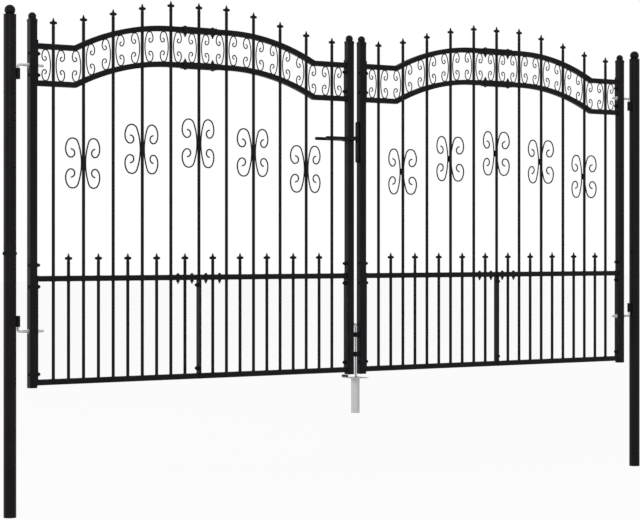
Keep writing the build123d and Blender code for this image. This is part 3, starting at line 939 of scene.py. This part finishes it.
domeForm = makeDome("domedHeadForm", domedHead)
lowForm = makeDome("lowHeadForm", lowHead)
capForm = makeDome("capNutForm", capNut)
tallCapForm = makeDome("tallCapForm", tallCap)
screwForm = makeDome("plateScrewForm", plateScrew)
blobForm = makeDome("weldBlobForm", weldBlob, formSides["blob"])
filletForm = lathe("picketFilletForm", picketFillet, formSides["fillet"])
cylinderForm = lathe("keyCylinderForm", keyCylinder, formSides["cylinder"])
nutForm = closedNut("nutForm", hexNut)
jamForm = closedNut("jamNutForm", jamNut)

boltLayout = {
    "stileBolts": (2.198, 2.096, 1.088, 0.671),  # through a flat bar
    "bareBolt": 1.191,  # on the stile itself
    "spliceBolts": (0.0405, 0.121),  # from the leaf's middle, through the middle rail
    "sleeveBolt": 0.080,
    "barBolts": (1.0875, 0.671),
    "postBolt": 1.247,
}


def stilesOf(facts):  # each stile's middle, and the way from it to the panels
    return (facts["hinge"], facts["inward"]), (facts["lock"], -facts["inward"])


def stileSpots(facts):
    heads, caps, tallCaps = [], [], []
    for stile, toPanel in stilesOf(facts):
        for height in boltLayout["stileBolts"] + (boltLayout["bareBolt"],):
            place = Vector((stile, 0, height))
            heads.append((place - toPanel * stileHalf, -toPanel))
            if height == boltLayout["bareBolt"]:
                tallCaps.append((place + toPanel * stileHalf, toPanel))
            else:
                caps.append((place + toPanel * (stileHalf + endBar), toPanel))
    return heads, caps, tallCaps


def spliceSpots(facts):
    heads, nuts = [], []
    for side in (1, -1):
        for along in boltLayout["spliceBolts"]:
            place = onLeaf(facts, side * along, leafLines["middle"])
            heads.append((place + up * railHalf, up))
            nuts.append((place + down * railHalf, down))
    return heads, nuts


def barSpots(facts):  # bolts through the two flat bars that meet at the leaf's middle
    heads, caps = [], []
    for height in boltLayout["barBolts"]:
        place = onLeaf(facts, 0, height)
        caps.append((place - facts["inward"] * endBar, -facts["inward"]))
        heads.append((place + facts["inward"] * endBar, facts["inward"]))
    return heads, caps


def sleeveSpots(facts):
    heads, nuts = [], []
    for rail, outward in (("upperArch", up), ("lowerArch", down)):
        for side in (1, -1):
            place = onLeaf(facts, side * boltLayout["sleeveBolt"], leafLines[rail] + archRise)
            heads.append((place + outward * sleeveHalf, outward))
            nuts.append((place - outward * sleeveHalf, -outward))
    return heads, nuts


def archSpots(facts, along):  # the four faces of the arched rails, or their sleeves, at one place
    half = sleeveHalf if abs(along) < leafLines["sleeveReach"] else railHalf
    spots = []
    for rail in ("lowerArch", "upperArch"):
        for offset in (-half, half):
            place, way = archFace(rail, along, offset)
            spots.append((onLeaf(facts, 0, 0) + place, way))
    return spots


def filletSpots(facts):  # where the pickets go through the rails
    spots = []
    for step in halfSteps:
        along = step * leafLines["pitch"] / 2
        spot = onLeaf(facts, along, 0)
        spots.append((spot + up * (leafLines["middle"] + railHalf), up))
        if step != 0:
            spots.append((spot + up * (leafLines["middle"] - railHalf), down))
            spots.append((spot + up * (leafLines["bottom"] + railHalf), up))
        if step % 2 == 0:
            spots += archSpots(facts, along)
    return spots


def blobSpots(facts):  # where the small scrolls' heads are welded to the arched rails
    spots = []
    for number in longSteps:
        for side in (1, -1):
            along = number * leafLines["pitch"] + side * leafLines["scrollHead"]
            spots += archSpots(facts, along)[1:3]  # the two faces that look into the band
    return spots


for side, facts in leafFacts.items():
    stileHeads, stileCaps, tallCaps = stileSpots(facts)
    spliceHeads, spliceNuts = spliceSpots(facts)
    barHeads, barCaps = barSpots(facts)
    sleeveHeads, sleeveNuts = sleeveSpots(facts)
    pieces = (  # with their seeds
        ("_domed_bolts", spliceHeads, domeForm, 3),
        ("_low_bolts", stileHeads + barHeads + sleeveHeads, lowForm, 5),
        ("_cap_nuts", stileCaps + barCaps, capForm, 7),
        ("_tall_cap_nuts", tallCaps, tallCapForm, 9),
        ("_nuts", spliceNuts + sleeveNuts, nutForm, 11),
        ("_picket_fillets", filletSpots(facts), filletForm, 13),
        ("_scroll_welds", blobSpots(facts), blobForm, 15),
    )
    for ending, spots, form, seed in pieces:
        scatter(side + ending, spots, form, facts["body"], seed)
outerHeads, innerHeads = [], []
for side, facts in leafFacts.items():
    low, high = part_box(side + "_post")
    place = Vector(((low.x + high.x) / 2, 0, boltLayout["postBolt"]))
    reach = facts["inward"] * (high.x - low.x) / 2
    outerHeads.append((place - reach, -facts["inward"]))
    innerHeads.append((place + reach, facts["inward"]))
scatter("post_bolts", outerHeads, domeForm, "posts", 17)
scatter("post_bolt_ends", innerHeads, lowForm, "posts", 19)
print("bolts, nuts and small welds placed")

hingeNuts = {
    "heights": (2.141, 0.877),
    "thread": {"Thread Radius": 0.0059, "Pitch": 0.00175, "Length": 0.034, "Crest": 0.00055},
}

for side, facts in leafFacts.items():
    spots = []
    for height in hingeNuts["heights"]:
        place = Vector((facts["hinge"], 0, height))
        spots.append((place - facts["inward"] * stileHalf, -facts["inward"]))
        spots.append((place + facts["inward"] * (stileHalf + endBar), facts["inward"]))
    scatter(side + "_hinge_nuts", spots, jamForm, facts["body"], 21, plating)
    name, values = side + "_hinge_threads", {**hingeNuts["thread"], "Finish": plating}
    grow(name, pointCloud(name, spots), threadTree, values, facts["body"])
print("hinge nuts and threads placed")

lockPlates = {"screwRise": 0.095, "keyDrop": 0.119}
handle = middleOf("handle_spindle")
forendFace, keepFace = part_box("lock_forend")[1].x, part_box("lock_keep")[0].x
plateLevel = middleOf("lock_keep").z
forendScrews, keepScrews = [], []
for rise in (lockPlates["screwRise"], -lockPlates["screwRise"]):
    forendScrews.append((Vector((forendFace, 0, plateLevel + rise)), right))
    keepScrews.append((Vector((keepFace, 0, plateLevel + rise)), left))
scatter("forend_screws", forendScrews, screwForm, "left_leaf", 23, handleCoat)
scatter("keep_screws", keepScrews, screwForm, "right_leaf", 25, handleCoat)
keyPlace = Vector((handle.x, 0, handle.z - lockPlates["keyDrop"]))
keySpots = [(keyPlace + way * stileHalf, way) for way in (front, back)]
scatter("key_cylinder", keySpots, cylinderForm, "left_leaf", 27, handleCoat)
print("lock details placed")

weldRuns = {
    "bead": {"Bead Radius": 0.0026, "Ripple Pitch": 0.0035, "Step": 0.0014},
    "eyeSide": 0.0060,
    "eyeHeight": 0.052,
    "guideHeight": 0.025,
    "guideInset": 0.0015,
    "ringSides": 24,
}


def weld(name, lines, body, finish=blackCoat):
    values = {**weldRuns["bead"], "Finish": finish}
    softEdges(grow(name, lineSet(name, lines), beadTree, values, body), "run")


def endSpans(low, high, height):  # a low and a high piece of one node, each this high
    return (low.z, low.z + height), (high.z - height, high.z)


eyeLines = []
for side, facts in leafFacts.items():
    postLow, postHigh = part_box(side + "_post")
    postRadius = (postHigh.x - postLow.x) / 2
    reach = math.sqrt(postRadius**2 - weldRuns["eyeSide"] ** 2)
    seam = Vector(((postLow.x + postHigh.x) / 2, 0, 0)) + facts["inward"] * reach
    for foot, top in endSpans(*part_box(side + "_hinge_eyes"), weldRuns["eyeHeight"]):
        for way in (front, back):
            edge = seam + way * weldRuns["eyeSide"]
            eyeLines.append((edge + up * foot, edge + up * top))
weld("eye_welds", eyeLines, "posts")

for side, facts in leafFacts.items():
    barLines = []
    level, depth = leafLines["middle"] + railHalf, leafLines["endBarDepth"]
    for stile, toPanel in stilesOf(facts):
        corner = Vector((stile, 0, level)) + toPanel * (stileHalf + endBar / 2)
        barLines.append((corner + front * depth / 2, corner + back * depth / 2))
    weld(side + "_bar_welds", barLines, facts["body"])

guideLow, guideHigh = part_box("drop_bolt_guides")
guideLines = []
guideSeam = guideHigh.x - weldRuns["guideInset"]
for foot, top in endSpans(guideLow, guideHigh, weldRuns["guideHeight"]):
    for edge in (guideLow.y, guideHigh.y):
        guideLines.append((Vector((guideSeam, edge, foot)), Vector((guideSeam, edge, top))))
weld("guide_welds", guideLines, "right_leaf")

socketLow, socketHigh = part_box("ground_socket")
socket = {
    "tubeX": 1.996,
    "tubeRadius": 0.0225,
    "plateFoot": 0.586,
    "plateTop": 0.590,
    "stop": 0.045,
    "stopWidth": 0.004,
}
ring = []
for step in range(weldRuns["ringSides"] + 1):
    angle = 2 * math.pi * step / weldRuns["ringSides"]
    around = Vector((math.cos(angle), math.sin(angle), 0)) * socket["tubeRadius"]
    ring.append(Vector((socket["tubeX"], 0, socket["plateFoot"])) + around)
stopSeam = Vector((socketLow.x + socket["stopWidth"], socketHigh.y, socket["plateTop"]))
stopLine = (stopSeam, stopSeam + front * socket["stop"])
weld("socket_welds", [ring, stopLine], "posts", zincCoat)
print("weld beads placed")

# Painted shade: a dark rubber cap over the socket's upturned stop, to make the stop dark
stopShadeCap = {"wall": 0.0025, "foot": 0.0015, "top": 0.0135, "corner": 0.0020, "cornerSteps": 2}
wall, corner = stopShadeCap["wall"], stopShadeCap["corner"]
foot, top = socket["plateTop"] + stopShadeCap["foot"], socket["plateTop"] + stopShadeCap["top"]
low = Vector((socketLow.x - wall, socketHigh.y - socket["stop"] - wall, foot))
high = Vector((stopSeam.x + wall, socketHigh.y + wall, top))
shadeCap = bevelledBox("stop_buffer", low, high, corner, stopShadeCap["cornerSteps"])
# painted shade: the cap's dark rubber darkens the stop
shadeCap.data.materials.append(shadeRubber)
scene.collection.objects.link(shadeCap)
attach(shadeCap, "posts")
softEdges(shadeCap)
print("stop's rubber cap placed")

camera = {
    "place": (-4.092, -8.626, 1.275),
    "yaw": 34.2,
    "lens": 112.4,
    "sensor": 36.0,
    "shiftY": -0.0195,
    "farthest": 200.0,
}
cameraData = bpy.data.cameras.new("photoCamera")
cameraData.lens = camera["lens"]
cameraData.sensor_width = camera["sensor"]
cameraData.shift_y = camera["shiftY"]
cameraData.clip_end = camera["farthest"]
cameraObject = bpy.data.objects.new("photoCamera", cameraData)
cameraObject.location = camera["place"]
cameraObject.rotation_euler = (math.radians(90), 0, -math.radians(camera["yaw"]))
scene.collection.objects.link(cameraObject)
scene.camera = cameraObject
print("camera set")

studio = {
    "floorColour": (0.96, 0.96, 0.96),
    "floorGlow": 0.91,
    "floorReach": 60.0,
    "white": (1, 1, 1, 1),
    "ambient": 0.55,
    "lamps": {
        "keyLamp": {
            "place": (-5.0, -7.0, 6.5), "target": (2.0, 0.0, 1.3), "size": 5.0, "power": 420.0,
        },
        "sideLamp": {
            "place": (-6.0, 5.5, 2.8), "target": (1.5, 0.0, 1.4), "size": 4.0, "power": 155.0,
        },
    },
}


def seenRays(tree):  # 1 where the camera looks, straight, by a mirror or through something clear
    straight, mirrored, through = [
        tree.node("ShaderNodeLightPath", output="Is " + kind + " Ray")
        for kind in ("Camera", "Glossy", "Transmission")
    ]
    return straight + mirrored + through


def makeFloor():
    mesh = bpy.data.meshes.new("floor")
    reach = studio["floorReach"]
    corners = [(-reach, -reach), (reach, -reach), (reach, reach), (-reach, reach)]
    mesh.from_pydata([(x, y, cadLow.z) for x, y in corners], [], [(0, 1, 2, 3)])
    floor = bpy.data.objects.new("floor", mesh)
    scene.collection.objects.link(floor)
    material = bpy.data.materials.new("paleFloor")
    tree = emptyTree(material)
    matt = tree.node("ShaderNodeBsdfDiffuse", {}, {"Color": (*studio["floorColour"], 1)})
    glow = tree.node("ShaderNodeEmission", {}, {"Color": studio["white"]})
    glowShare = seenRays(tree) * studio["floorGlow"]
    surface = tree.node("ShaderNodeMixShader", {}, {0: glowShare, 1: matt, 2: glow})
    tree.node("ShaderNodeOutputMaterial", {}, {"Surface": surface})
    mesh.materials.append(material)


def makeWorld():
    world = bpy.data.worlds.new("whiteStudio")
    scene.world = world
    tree = emptyTree(world)
    strength = studio["ambient"] + (1 - studio["ambient"]) * seenRays(tree)
    sky = tree.node("ShaderNodeBackground", {}, {"Color": studio["white"], "Strength": strength})
    tree.node("ShaderNodeOutputWorld", {}, {"Surface": sky})


def makeLamps():
    for name, facts in studio["lamps"].items():
        lamp = bpy.data.lights.new(name, "AREA")
        lamp.size = facts["size"]
        lamp.energy = facts["power"]
        holder = bpy.data.objects.new(name, lamp)
        holder.location = facts["place"]
        toward = Vector(facts["target"]) - Vector(facts["place"])
        holder.rotation_euler = toward.to_track_quat("-Z", "Y").to_euler()
        scene.collection.objects.link(holder)


makeFloor()
makeWorld()
makeLamps()
scene.view_settings.view_transform = "Standard"
print("studio set")
